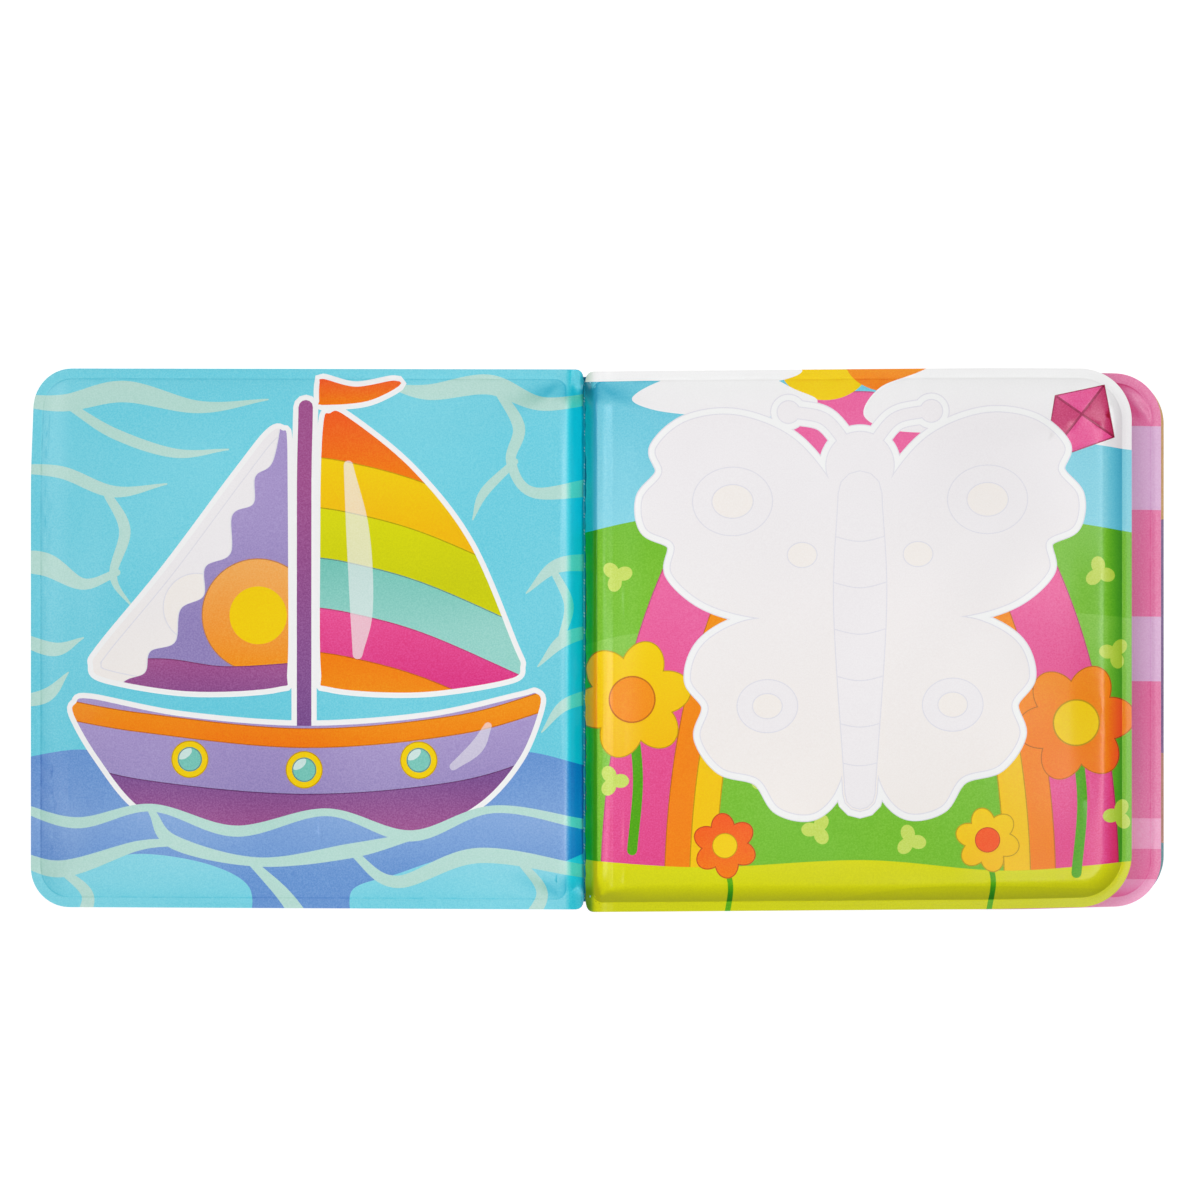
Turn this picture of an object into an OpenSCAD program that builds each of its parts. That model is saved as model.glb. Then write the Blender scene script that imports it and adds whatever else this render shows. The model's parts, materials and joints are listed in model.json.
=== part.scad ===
// Soft bath book of four padded film leaves, lying open after its front cover.
// Millimetres. +Z up, +Y towards the top of the pages, +X from the front cover to the page stack.
// The origin lies on the surface, under the middle of the open book.

/* [Leaves] */
// Width of one leaf, from its edge at the spine to its outer edge
leaf_w = 144; // [100:1:220]
// Height of every leaf, along the spine
leaf_h = 140; // [100:1:220]
// Thickness of a padded leaf away from its edges
leaf_t = 5; // [3:0.5:8]
// Radius of a leaf's two outer corners
corner_r = 11.5; // [6:0.5:20]
// Radius of a leaf's two corners at the spine
spine_corner_r = 2; // [1:0.5:4]

/* [Welded border] */
// Width of the flat border outside the weld on the three free sides
border_w = 2.4; // [1.6:0.1:4]
// Width of the flat border outside the weld at the spine
spine_border_w = 4.4; // [3:0.1:7]
// Thickness of the border, which is two films welded together
border_t = 0.8; // [0.5:0.1:1.2]
// Radius of the weld line at the two spine corners
weld_corner_r = 2.6; // [1:0.2:5]
// Width over which the padding rises from the weld to its full thickness
shoulder_w = 4.6; // [3:0.2:7]

/* [Stack] */
// Clearance between a leaf and the next one
leaf_gap = 0.3; // [0.2:0.1:1]
// Distance from the fold line to the leaf on either side of it
gutter_gap = 0.4; // [0.4:0.1:2]
// Width of the uppermost page's border that lies flat, the rest being folded down into the gutter
fold_border_w = 1.9; // [1.5:0.1:3]
// How far the second page stands out past the one above it
page_shift = 8.2; // [5:0.1:12]
// How far the back cover stands out past the second page
cover_shift = 1.3; // [0:0.1:4]

/* [Sewn fold] */
// Radius of the rolled fold that the leaves are sewn through
bead_r = 0.8; // [0.6:0.1:1.5]
// How far the fold stops short of the leaves' upper and lower edges
fold_notch = 1.8; // [0.5:0.1:5]
// Thickness of the thread
thread_d = 0.6; // [0.3:0.1:0.8]
// Length of one stitch and the space after it
stitch_pitch = 4.3; // [3:0.1:8]
// Length of thread that shows in one stitch
stitch_l = 2.7; // [1.5:0.1:2.8]

/* [Hidden] */

SHOULDER_STEPS = 5; // rings from the weld to the full thickness
CORNER_STEPS = 6; // chords round one corner
FILM_LAP = 0.5; // how deep a film runs into the border that it joins

film_side_h = border_t / 2;
pad_side_h = leaf_t / 2;
step_h = leaf_t + leaf_gap;

// Heights of the middles of the three leaves that lie flat, and of the front cover when it is shut
back_z = pad_side_h;
lower_page_z = back_z + step_h;
upper_page_z = lower_page_z + step_h;
shut_cover_z = upper_page_z + step_h;

// The fold lies half way up the stack, and the rolled bead is just below it
fold_z = (lower_page_z + upper_page_z) / 2;
bead_z = fold_z - film_side_h - leaf_gap - bead_r;

// All leaves turn about one line. From it the cover lies as far below on its back as above when shut.
hinge_z = (fold_z + shut_cover_z) / 2;
hinge_drop = shut_cover_z - hinge_z;

// Distances of the leaves' spine edges from the fold line
upper_page_x = gutter_gap;
upper_page_w = leaf_w - spine_border_w + fold_border_w;
lower_page_x = upper_page_x + upper_page_w + page_shift - leaf_w;
back_x = lower_page_x + cover_shift;
page_fold_x = upper_page_x + film_side_h;

// One side of a leaf's section: distances inside the weld, and heights over the middle of the leaf
function shoulder_in(i) = shoulder_w * (1 - cos(90 * i / SHOULDER_STEPS));
function shoulder_up(i) = film_side_h + (pad_side_h - film_side_h) * sin(90 * i / SHOULDER_STEPS);

// The open cover tilts down from the fold until the first point of its outer shoulder meets the surface
function tilt_to_surface(out, drop) = atan2(out, drop) - acos(hinge_z / norm([out, drop]));
cover_out = gutter_gap + leaf_w - border_w;
open_tilt = min([for (i = [0 : SHOULDER_STEPS])
    tilt_to_surface(cover_out - shoulder_in(i), hinge_drop + shoulder_up(i))]);

// The fold line stands where the open book's box is centred on the origin
left_reach = (gutter_gap + leaf_w) * cos(open_tilt) - (hinge_drop - film_side_h) * sin(open_tilt);
right_reach = back_x + leaf_w;
fold_x = (left_reach - right_reach) / 2;

fold_l = leaf_h - 2 * fold_notch;
stitch_count = floor((fold_l - stitch_l) / stitch_pitch) + 1;

// A quarter of a circle about [x, y], of radius r, starting at angle a
function corner(x, y, r, a, z) =
    [for (i = [0 : CORNER_STEPS])
        let (turn = a + 90 * i / CORNER_STEPS)
        [x + r * cos(turn), y + r * sin(turn), z]];

// One outline of a leaf of width w, at height z: s and o are its distances inside the spine edge and the
// other edges, rs and ro the radii of its corners at the spine and outside
function outline(w, s, o, rs, ro, z) =
    let (x0 = s, x1 = w - o, y1 = leaf_h / 2 - o)
    concat(
        corner(x1 - ro, y1 - ro, ro, 0, z),
        corner(x0 + rs, y1 - rs, rs, 90, z),
        corner(x0 + rs, rs - y1, rs, 180, z),
        corner(x1 - ro, ro - y1, ro, 270, z));

function edge_outline(w, z) = outline(w, 0, 0, spine_corner_r, corner_r, z);

// An outline of the pad i steps inside the weld
function pad_outline(w, spine_w, i, z) =
    let (d = shoulder_in(i))
    outline(w, spine_w + d, border_w + d, weld_corner_r, max(corner_r - border_w - d, weld_corner_r), z);

// A padded leaf from x = 0 to x = w, with its middle at z = 0
module leaf(w, spine_w) {
    outlines = concat(
        [for (i = [SHOULDER_STEPS : -1 : 0]) pad_outline(w, spine_w, i, -shoulder_up(i))],
        [edge_outline(w, -film_side_h), edge_outline(w, film_side_h)],
        [for (i = [0 : SHOULDER_STEPS]) pad_outline(w, spine_w, i, shoulder_up(i))]);
    m = len(outlines[0]);
    last = len(outlines) - 1;
    polyhedron(
        points = [for (line = outlines) for (p = line) p],
        faces = concat(
            [[for (j = [0 : m - 1]) j]],
            [for (i = [0 : last - 1]) for (j = [0 : m - 1])
                let (k = (j + 1) % m)
                each [
                    [i * m + j, (i + 1) * m + j, (i + 1) * m + k],
                    [i * m + j, (i + 1) * m + k, i * m + k]]],
            [[for (j = [m - 1 : -1 : 0]) last * m + j]]));
}

// A strip of film along the fold, from one point of the section to another
module film(from, to) {
    run = to - from;
    translate([from[0], 0, from[1]])
        rotate([0, -atan2(run[1], run[0]), 0])
            translate([0, -fold_l / 2, -film_side_h])
                cube([norm(run), fold_l, border_t]);
}

// A round edge along the fold, of radius r
module rolled_edge(x, z, r) {
    translate([x, -fold_l / 2, z])
        rotate([-90, 0, 0])
            cylinder(r = r, h = fold_l, $fn = 32);
}

// Where stitch i begins and ends along the fold
function stitch_mid(i) = (i - (stitch_count - 1) / 2) * stitch_pitch;
function stitch_start(i) = stitch_mid(i) - stitch_l / 2;
function stitch_end(i) = stitch_mid(i) + stitch_l / 2;

// The running thread in its fold's plane: stitches along the top of the bead, and between them down through
// it and along its underside. First the thread's upper side, then its lower side back to the first stitch.
function thread_outline() =
    let (top = bead_r, under = bead_r - thread_d, n = stitch_count)
    concat(
        [for (i = [0 : n - 1]) each concat(
            [[stitch_start(i), top], [stitch_end(i), top]],
            i < n - 1 ? [[stitch_end(i), -under], [stitch_start(i + 1), -under]] : [])],
        [[stitch_end(n - 1), -top], [stitch_end(n - 1) - thread_d, -top]],
        [for (i = [n - 1 : -1 : 0]) each concat(
            [[stitch_end(i) - thread_d, under], [stitch_start(i) + thread_d, under]],
            i > 0 ? [[stitch_start(i) + thread_d, -top], [stitch_end(i - 1) - thread_d, -top]] : [])],
        [[stitch_start(0) + thread_d, -top], [stitch_start(0), -top]]);

module thread() {
    translate([fold_x - thread_d / 2, 0, bead_z])
        rotate([90, 0, 90])
            linear_extrude(thread_d)
                polygon(thread_outline());
}

// The leaf to the left of the fold. Its outer edge rests on the surface and its spine edge is at the fold.
module front_cover() {
    color("deepskyblue")
        translate([fold_x, 0, hinge_z])
            rotate([0, -open_tilt, 0])
                translate([-gutter_gap, 0, -hinge_drop])
                    mirror([1, 0, 0])
                        leaf(leaf_w, spine_border_w);
}

// The two leaves between the covers, one folded sheet: the film of the upper one turns down at the gutter,
// folds half way up the stack and runs on into the lower one
module inner_pages() {
    color("hotpink")
        translate([fold_x, 0, 0]) {
            translate([upper_page_x, 0, upper_page_z])
                leaf(upper_page_w, fold_border_w);
            translate([lower_page_x, 0, lower_page_z])
                leaf(leaf_w, spine_border_w);
            film([page_fold_x, upper_page_z], [page_fold_x, fold_z]);
            rolled_edge(page_fold_x, fold_z, film_side_h);
            film([page_fold_x, fold_z], [lower_page_x + FILM_LAP, lower_page_z]);
        }
}

// The lowest leaf, with the film that rises from it to the rolled fold
module back_cover() {
    color("mediumpurple")
        difference() {
            translate([fold_x, 0, 0]) {
                translate([back_x, 0, back_z])
                    leaf(leaf_w, spine_border_w);
                film([0, bead_z], [back_x + FILM_LAP, back_z]);
                rolled_edge(0, bead_z, bead_r);
            }
            thread();
        }
}

// The thread along the rolled fold
module stitching() {
    color("paleturquoise")
        thread();
}

front_cover();
inner_pages();
back_cover();
stitching();
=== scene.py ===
import json
import math

import bpy
import numpy as np
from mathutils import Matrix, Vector, kdtree
from mathutils.geometry import delaunay_2d_cdt


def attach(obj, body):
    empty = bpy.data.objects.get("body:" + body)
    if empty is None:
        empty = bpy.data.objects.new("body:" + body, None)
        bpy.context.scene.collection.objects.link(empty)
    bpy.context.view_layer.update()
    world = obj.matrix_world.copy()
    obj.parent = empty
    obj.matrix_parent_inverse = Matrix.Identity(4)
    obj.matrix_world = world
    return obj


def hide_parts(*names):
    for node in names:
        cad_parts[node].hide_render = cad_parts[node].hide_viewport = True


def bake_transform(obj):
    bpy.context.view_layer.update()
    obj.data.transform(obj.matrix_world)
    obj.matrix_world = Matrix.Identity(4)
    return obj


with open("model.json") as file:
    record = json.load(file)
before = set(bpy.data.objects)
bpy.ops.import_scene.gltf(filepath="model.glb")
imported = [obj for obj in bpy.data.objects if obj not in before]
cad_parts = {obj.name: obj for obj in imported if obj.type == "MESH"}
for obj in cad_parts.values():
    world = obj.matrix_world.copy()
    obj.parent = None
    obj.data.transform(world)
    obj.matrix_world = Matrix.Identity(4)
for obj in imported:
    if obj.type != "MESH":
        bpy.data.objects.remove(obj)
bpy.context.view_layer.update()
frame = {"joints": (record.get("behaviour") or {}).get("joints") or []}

# Sizes of the book in millimetres, as in the part's source
LEAF_W, LEAF_H, LEAF_T = 144.0, 140.0, 5.0
SPINE_CORNER_R = 2.0
BORDER_W, SPINE_BORDER_W, FOLD_BORDER_W, BORDER_T = 2.4, 4.4, 1.9, 0.8
WELD_CORNER_R, SHOULDER_W, SHOULDER_STEPS = 2.6, 4.6, 5
LEAF_GAP, GUTTER_GAP = 0.3, 0.4
PAGE_SHIFT, COVER_SHIFT = 8.2, 1.3
BEAD_R, FOLD_NOTCH, STITCH_PITCH, STITCH_L, THREAD_D = 0.8, 1.8, 4.3, 2.7, 0.6
MM = 0.001

# Places that follow from them. The hinge line gives the fold's place across the book.
hinge = next(j for j in frame["joints"] if j["name"] == "front_cover_hinge")
FOLD_X, HINGE_Z = hinge["pos_m"][0] / MM, hinge["pos_m"][2] / MM
STEP_H = LEAF_T + LEAF_GAP
BACK_Z = LEAF_T / 2
LOWER_PAGE_Z = BACK_Z + STEP_H
UPPER_PAGE_Z = LOWER_PAGE_Z + STEP_H
FOLD_Z = (LOWER_PAGE_Z + UPPER_PAGE_Z) / 2
BEAD_Z = FOLD_Z - BORDER_T / 2 - LEAF_GAP - BEAD_R
HINGE_DROP = UPPER_PAGE_Z + STEP_H - HINGE_Z
UPPER_PAGE_W = LEAF_W - SPINE_BORDER_W + FOLD_BORDER_W
LOWER_PAGE_X = GUTTER_GAP + UPPER_PAGE_W + PAGE_SHIFT - LEAF_W
BACK_X = LOWER_PAGE_X + COVER_SHIFT
FOLD_L = LEAF_H - 2 * FOLD_NOTCH

# The photograph is 1200 pixels wide and shows this much of the surface from this height
VIEW_W, CAMERA_H = 314.3, 1300.0
CAMERA_X, CAMERA_Y = 0.36, 10.2

# Radiance that the gloss of the film adds to a flat page
VEIL = 0.006


def linear(c):
    """An sRGB value from 0 to 255 as linear light."""
    c = np.asarray(c, float) / 255
    return np.where(c <= 0.04045, c / 12.92, ((c + 0.055) / 1.055) ** 2.4)


def ink(r, g, b):
    """The linear colour of a printed field that looks like this sRGB colour once the gloss lies over it."""
    return np.clip(linear((r, g, b)) - VEIL, 0.001, 0.9)


# Inks of the two open pages and of the leaves below
WATER, DEEP_WATER, SHALLOWS = ink(121, 213, 230), ink(109, 206, 225), ink(140, 217, 232)
MINT, FOAM = ink(186, 223, 214), ink(206, 230, 226)
BLUE, LIGHT_BLUE = ink(108, 152, 213), ink(136, 172, 223)
ORANGE, DEEP_ORANGE, ORANGE_RED = ink(253, 148, 30), ink(252, 126, 8), ink(248, 96, 40)
TEAL, LIGHT_TEAL = ink(122, 199, 186), ink(150, 212, 202)
LIME, DEEP_LIME = ink(220, 220, 6), ink(206, 208, 2)
PINK, ROSE, MAGENTA = ink(237, 104, 162), ink(235, 84, 150), ink(222, 58, 132)
YELLOW, AMBER = ink(251, 208, 12), ink(252, 190, 10)
PURPLE, LAVENDER, PLUM = ink(152, 138, 192), ink(172, 155, 206), ink(166, 90, 148)
DARK_PLUM = ink(128, 84, 146)
GREEN, FRESH_GREEN = ink(124, 193, 54), ink(138, 200, 76)
DEEP_GREEN, PALE_GREEN = ink(88, 170, 24), ink(202, 222, 104)
SKY, LIGHT_SKY = ink(116, 204, 224), ink(140, 214, 230)
WHITE, PANEL, PANEL_LINE = ink(248, 246, 249), ink(240, 237, 239), ink(228, 226, 232)
CRIMSON, PEACH, WARM_PANEL = ink(204, 66, 116), ink(253, 176, 96), ink(243, 238, 234)
LEAF_PINK, PALE_PINK, LILAC = ink(236, 125, 173), ink(244, 164, 203), ink(226, 182, 220)
OCHRE, VIOLET, BROWN = ink(222, 184, 108), ink(132, 108, 160), ink(200, 140, 112)
SLATE, NAVY = ink(96, 156, 162), ink(92, 104, 158)
# Inks of the films in the gutter, darker than the pages' inks as painted shade: on the left and then on the
# right from the top down
SHADED_GUTTER_SEA = ink(30, 178, 200)
SHADED_GUTTER_SKY, SHADED_GUTTER_GREEN, SHADED_GUTTER_PINK = ink(40, 180, 200), ink(110, 175, 60), ink(214, 70, 140)
THREAD_DARK, THREAD_LIGHT = linear((70, 180, 195)), linear((165, 228, 232))


def curve(points, step=0.6, closed=False):
    """A smooth line through the points, as an array with a point every step mm or so."""
    p = np.array(points, float)
    if closed:
        p = np.vstack([p[-1:], p, p[:2]])
    else:
        p = np.vstack([2 * p[0] - p[1], p, 2 * p[-1] - p[-2]])
    out = []
    for a, b, c, d in zip(p[:-3], p[1:-2], p[2:-1], p[3:]):
        n = max(2, int(np.hypot(*(c - b)[:2]) / step))
        t = (np.arange(n) / n)[:, None]
        bend, twist = 2 * a - 5 * b + 4 * c - d, 3 * b - a - 3 * c + d
        out.append(0.5 * (2 * b + (c - a) * t + bend * t**2 + twist * t**3))
    return np.vstack(out if closed else out + [p[-2:-1]])


def blob(points):
    """A smooth closed outline through the points."""
    return curve(points, closed=True)


def anticlockwise(outline):
    nxt = np.roll(outline, -1, 0)
    area = np.sum(outline[:, 0] * nxt[:, 1] - nxt[:, 0] * outline[:, 1])
    return outline if area > 0 else outline[::-1]


def ellipse(x, y, rx, ry, turn=0.0, step=0.6):
    n = max(12, int(2 * math.pi * max(rx, ry) / step))
    a = 2 * math.pi * np.arange(n) / n
    c, s = math.cos(math.radians(turn)), math.sin(math.radians(turn))
    u, v = rx * np.cos(a), ry * np.sin(a)
    return np.stack([x + u * c - v * s, y + u * s + v * c], 1)


def ribbon(points):
    """A band along the smooth line through points (x, y, half width), with rounded ends."""
    line = curve(points, 0.8)
    run = np.gradient(line[:, :2], axis=0)
    run /= np.hypot(run[:, 0], run[:, 1])[:, None]
    side = np.stack([-run[:, 1], run[:, 0]], 1) * line[:, 2:3]
    left, right = line[:, :2] + side, line[:, :2] - side

    def cap(centre, direction, r):
        a = np.linspace(-math.pi / 2, math.pi / 2, 7)[1:-1, None]
        across = np.array([-direction[1], direction[0]])
        return centre + r * (np.cos(a) * direction - np.sin(a) * across)

    ends = cap(line[-1, :2], run[-1], line[-1, 2]), cap(line[0, :2], -run[0], line[0, 2])
    return np.vstack([left, ends[0], right[::-1], ends[1]])


def grown(outline, by):
    """The outline moved outwards by so many millimetres, or inwards where by is negative."""
    outline = anticlockwise(outline)
    run = np.roll(outline, -1, 0) - np.roll(outline, 1, 0)
    length = np.maximum(np.hypot(run[:, 0], run[:, 1]), 1e-6)
    moved = outline + by * np.stack([run[:, 1], -run[:, 0]], 1) / length[:, None]
    apart = np.hypot(*(moved[:, None, :] - outline[None, :, :]).transpose(2, 0, 1)).min(1)
    # Points that come nearer than this to another part of the outline would make the new one cross itself
    nearest = 0.96 * abs(by)
    return moved[apart > nearest]


def covered(outline, points):
    """Which of the points lie inside the outline."""
    near = np.where(((points > outline.min(0)) & (points < outline.max(0))).all(1))[0]
    x, y = points[near].T
    turns = np.zeros(len(near), int)
    for (x0, y0), (x1, y1) in zip(outline, np.roll(outline, -1, 0)):
        if y0 != y1:
            left = ((x1 - x0) * (y - y0) - (x - x0) * (y1 - y0)) * (1 if y1 > y0 else -1) > 0
            turns += (left & (min(y0, y1) <= y) & (y < max(y0, y1))) * (1 if y1 > y0 else -1)
    inside = np.zeros(len(points), bool)
    inside[near] = turns != 0
    return inside


def below(points):
    """Everything below a smooth line that crosses the page."""
    line, foot = curve(points), -90.0
    return np.vstack([line, [[line[-1, 0], foot], [line[0, 0], foot]]])


class Print:
    """The printed fields of one side of a leaf, each painted over the ones before it."""

    def __init__(self, ground, to=None, span=(60, -60)):
        self.fields = [(None, ground, to, span, None, 1.0)]

    def paint(self, outline, colour, to=None, span=(0, 1), within=None, mix=1.0):
        """Adds a field and gives its number.

        to is a second ink, reached from height span[0] to height span[1]. within is the number of the field
        that it stays inside, and mix its share over what lies below.
        """
        self.fields.append((np.asarray(outline), colour, to, span, within, mix))
        return len(self.fields) - 1

    def lined(self, outer, inner, colour, to=None, span=(0, 1), within=None):
        """Adds a field over its contour, which is the thin darker rest of the outer shape."""
        self.paint(outer, darker(colour), within=within)
        return self.paint(inner, colour, to, span, within)

    def colours(self, corners):
        """The linear colour at each corner of triangles, none of which crosses a field's outline."""
        middles = corners.mean(1)
        out = np.zeros((len(corners), 3, 3))
        painted = []
        for outline, colour, to, span, within, mix in self.fields:
            on = np.ones(len(corners), bool) if outline is None else covered(outline, middles)
            if within is not None:
                on &= painted[within]
            painted.append(on)
            if to is not None:
                t = np.clip((corners[on][:, :, 1:] - span[0]) / (span[1] - span[0]), 0, 1)
                colour = colour * (1 - t) + to * t
            out[on] = out[on] * (1 - mix) + colour * mix
        return out


# Widths of the white edge round a drawn shape and of the contour round a field, and the contour's tone
OUTLINE_W, CONTOUR_W = 1.4, 0.28
CONTOUR_TONE = (0.62, 0.50, 0.55)
# Height over which a band of a sail goes over into its second ink, and width of a hem
BAND_FADE, HEM_W = 18, 2.0
# Middle of the right page's scene
MID_X = 71


def darker(colour):
    """The tone of the thin contour round a field of this colour."""
    return np.asarray(colour) * CONTOUR_TONE


def mirrored_at(x, outline):
    return np.column_stack([2 * x - outline[:, 0], outline[:, 1]])


def banded(art, within, bands, edge):
    """Bands across a field, each running down from the line that edge gives for its height."""
    for height, colour, to in bands:
        outer, inner = below(edge(height + CONTOUR_W)), below(edge(height))
        art.lined(outer, inner, colour, to, (height, height - BAND_FADE), within)


def draw_currents(art):
    """Pale currents in the water that branch and taper to points."""
    for line in (
        [(-6, 62, 1.4), (8, 61, 2.2), (24, 64, 2.8), (44, 60, 1.6), (62, 62, 0.2)],
        [(10, 60, 1.0), (22, 53, 1.4), (38, 48, 1.2), (52, 49, 0.2)],
        [(-6, 44, 1.0), (8, 43, 1.6), (22, 38, 1.5), (36, 40, 0.2)],
        [(20, 38, 1.0), (25, 28, 1.5), (22, 16, 1.0), (27, 8, 0.2)],
        [(-6, 20, 2.6), (4, 19, 3.0), (14, 14, 1.5), (23, 17, 0.9)],
        [(-6, 1, 1.4), (6, -3, 1.8), (14, 0, 0.2)],
        [(-6, -17, 1.2), (4, -15, 1.8), (10, -9, 0.2)],
        [(92, 66, 0.2), (104, 64, 2.0), (120, 66, 2.6), (134, 61, 1.8), (150, 63, 1.4)],
        [(122, 65, 1.0), (128, 55, 1.6), (126, 46, 1.3), (132, 38, 1.4), (150, 40, 2.6)],
        [(127, 46, 0.9), (119, 38, 1.2), (116, 31, 0.2)],
        [(150, 20, 2.4), (138, 19, 1.8), (130, 12, 0.2)],
        [(150, 3, 1.3), (140, 0, 1.7), (133, -7, 0.2)],
        [(139, 0, 0.8), (141, 9, 1.2), (137, 18, 0.9)],
        [(150, -14, 2.0), (140, -17, 1.5), (134, -24, 0.2)],
    ):
        art.paint(ribbon(line), MINT)


def draw_hull(art, hull):
    body = art.paint(hull, PURPLE, LAVENDER, (-44, -20))
    keel = [(6, -31), (30, -37), (72, -40.5), (112, -37), (138, -29)]
    outer = below([(x, y + CONTOUR_W) for x, y in keel])
    art.lined(outer, below(keel), DARK_PLUM, PLUM, (-36, -52), body)
    rail = [(6, -18, 2.3), (30, -22, 2.3), (72, -25.8, 2.3), (112, -22.2, 2.3), (138, -15, 2.3)]
    outer = ribbon([(x, y, w + CONTOUR_W) for x, y, w in rail])
    art.lined(outer, ribbon(rail), ORANGE, DEEP_ORANGE, (-17, -28), body)
    for x, y in ((42, -31.4), (72, -34), (102, -31.4)):
        art.lined(ellipse(x, y, 4.9, 4.9), ellipse(x, y, 4.6, 4.6), YELLOW, within=body)
        glass = art.lined(ellipse(x, y, 3.2, 3.2), ellipse(x, y, 2.9, 2.9), TEAL)
        art.paint(ellipse(x - 1.3, y + 1.5, 2.1, 1.2, 35), FOAM, within=glass)
    gleam = [(120, -22.5, 1.0), (117, -28, 1.8), (111, -33, 1.0)]
    art.paint(ribbon(gleam), WHITE, within=body, mix=0.45)


def draw_mainsail(art, sail):
    main = art.paint(sail, ORANGE_RED, DEEP_ORANGE, (60, 40))
    bands = [
        (46, YELLOW, AMBER), (33, LIME, DEEP_LIME), (20, TEAL, LIGHT_TEAL), (7, ROSE, MAGENTA),
        (-4.5, DEEP_ORANGE, ORANGE)]
    banded(art, main, bands, lambda h: [(70, h + 1.5), (84, h - 0.5), (104, h - 6), (134, h - 19)])
    gleam = [(83.5, 45, 1.2), (86, 28, 3.0), (87, 8, 3.0), (86, -4, 1.3)]
    art.paint(ribbon(gleam), WHITE, within=main, mix=0.55)


def draw_jib(art, jib):
    """The small sail: its colours show only where the white panel over it has faded."""
    fore = art.paint(jib, LAVENDER, PURPLE, (40, 0))
    sun = ellipse(60, 6, 14.5, 14.5)
    art.lined(grown(sun, CONTOUR_W), sun, PEACH, ORANGE, (18, -8), fore)
    art.paint(ellipse(60, 6, 7.5, 7.5), YELLOW, within=fore)
    foot = [(-5, PLUM, DARK_PLUM)]
    banded(art, fore, foot, lambda h: [(10, h - 2), (34, h - 0.5), (52, h - 2.5), (76, h - 1)])
    faded = [
        (66, 60), (63.5, 46), (59, 42), (58.5, 35), (53, 32), (52.5, 22), (46, 18.5), (45.5, 11),
        (39.5, 7.5), (38, -1), (31.5, -3.5), (30, -9), (24, -12), (22, -22)]
    veil = np.vstack([curve(faded), [(4, -22), (4, 60)]])
    art.paint(veil + (CONTOUR_W, 0), PANEL_LINE, within=fore)
    panel = art.paint(veil, PANEL, WARM_PANEL, (20, -14), within=fore)
    hem = art.paint(grown(jib, -HEM_W), PANEL_LINE, within=panel)
    inner = art.paint(grown(jib, -HEM_W - CONTOUR_W), PANEL, WARM_PANEL, (20, -14), within=hem)
    ghost = art.paint(ellipse(44, 8, 9, 9), PANEL_LINE, within=inner)
    art.paint(ellipse(44, 8, 8.7, 8.7), WARM_PANEL, within=ghost)


def draw_waves(art):
    crest = [(-6, -43), (12, -48), (32, -44), (54, -50), (78, -45), (100, -51), (122, -44), (150, -49)]
    art.paint(below(crest), LIGHT_BLUE, BLUE, (-46, -62))
    for pool in (
        [(-8, -58), (10, -60), (28, -56), (48, -59), (58, -66), (52, -78), (20, -80), (-10, -78)],
        [(84, -66), (96, -61), (114, -56), (134, -59), (152, -55), (154, -78), (120, -80), (90, -78)],
    ):
        art.paint(blob(pool), SHALLOWS, WATER, (-56, -70))
    art.paint(ribbon([(x, y, 1.0 + 0.45 * (i % 2)) for i, (x, y) in enumerate(crest)]), MINT)
    for line in (
        [(32, -45, 0.9), (38, -53, 1.8), (60, -58, 1.2), (84, -55, 1.9), (101, -51, 0.9)],
        [(58, -58, 0.9), (66, -66, 1.8), (72, -74, 2.2)],
        [(-6, -56, 1.4), (8, -60, 2.2), (28, -54, 1.3), (38, -53, 0.9)],
        [(84, -55, 0.9), (96, -63, 1.6), (118, -56, 2.0), (150, -61, 1.6)],
        [(8, -60, 0.9), (15, -67, 1.6), (12, -76, 1.8)],
        [(128, -57, 0.8), (134, -66, 1.5), (128, -76, 1.8)],
    ):
        art.paint(ribbon(line), MINT)


def sea_print():
    """Left page: a sailing boat with one sail half white, on a sea crossed by pale currents."""
    art = Print(WATER, DEEP_WATER)
    draw_currents(art)
    swell = below([(-6, -32), (14, -29), (30, -33), (110, -34), (128, -29), (150, -34)])
    art.paint(swell, BLUE, LIGHT_BLUE, (-30, -60))

    hull = blob([
        (12, -17), (16, -15.8), (40, -20.3), (72, -22.6), (104, -20.3), (128, -15), (132.5, -14),
        (133.5, -17.5), (128, -31), (117, -43), (100, -50.5), (72, -53.5), (46, -51.5), (29, -44),
        (18, -31), (11.5, -20)])
    mast = ribbon([(72, -27, 1.9), (72, 60, 1.9)])
    jib = blob([
        (66, 54), (67.4, 50), (67.8, 20), (67.6, -8), (65, -12.6), (42, -13.8), (20, -10.4), (16.6, -7),
        (19, -2.4), (36, 18), (54, 42), (62.5, 53)])
    sail = blob([
        (78.5, 58.5), (76.6, 54), (76.2, 20), (76.4, -8), (79, -12.6), (102, -13.8), (125, -10.4),
        (128.4, -7), (126.5, -1.5), (115, 25), (100, 44), (83, 57.5)])
    pennant = blob([
        (75.5, 66.4), (76.4, 67.4), (85, 65.4), (95, 67), (96.4, 65.6), (88, 61.6), (76.4, 60.6),
        (75.5, 61.6)])
    for shape in (pennant, mast, jib, sail, hull):
        art.paint(grown(shape, OUTLINE_W), WHITE)
    art.paint(mast, PLUM, DARK_PLUM, (40, -20))
    art.paint(pennant, ORANGE_RED, DEEP_ORANGE, (67, 61))
    draw_mainsail(art, sail)
    draw_jib(art, jib)
    draw_hull(art, hull)
    draw_waves(art)
    return art


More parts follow.
